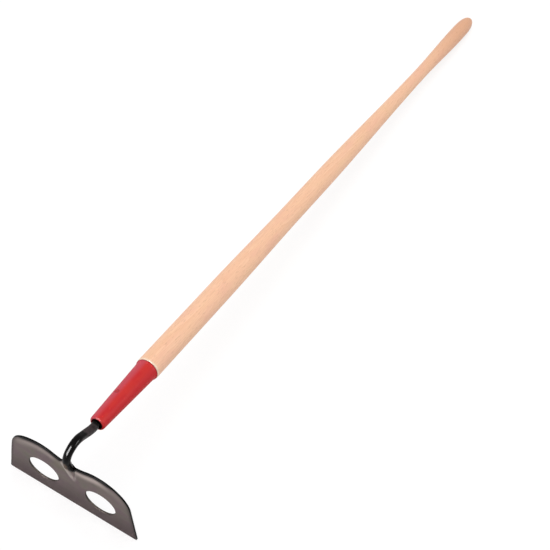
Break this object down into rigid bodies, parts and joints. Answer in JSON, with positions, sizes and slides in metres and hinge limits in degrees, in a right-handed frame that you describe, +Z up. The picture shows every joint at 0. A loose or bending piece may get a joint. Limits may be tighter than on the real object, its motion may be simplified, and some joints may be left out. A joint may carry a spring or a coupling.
{
  "type": "cement hoe",
  "caption": "Long-handled hoe for mixing cement: a wide steel blade with round mixing holes on a forged gooseneck, a tapered ferrule and a turned ash handle with a swelled butt.",
  "frame": {"origin": "Middle of the cutting edge's flat, on the floor that the hoe lies on.", "axes": "+Y runs along the tool from the blade to the butt of the handle, +X across the blade, +Z up. The hoe rests on the cutting edge and the butt."},
  "size_m": [0.253, 1.6298, 0.191],
  "materials": {
    "bare_steel": "bare ground steel, satin, with black paint left on its edges and back",
    "black_paint": "gloss black paint over forged steel",
    "weld_metal": "weld bead, thinly painted, brown-black",
    "red_paint": "semi-gloss red paint over drawn steel",
    "ash_wood": "turned ash, fine straight grain, clear lacquer"
  },
  "bodies": {
    "root": {"blade": "bare_steel", "gooseneck": "black_paint", "weld_left": "weld_metal", "weld_right": "weld_metal", "ferrule": "red_paint", "ferrule_pin": "red_paint", "handle": "ash_wood"}
  },
  "joints": []
}
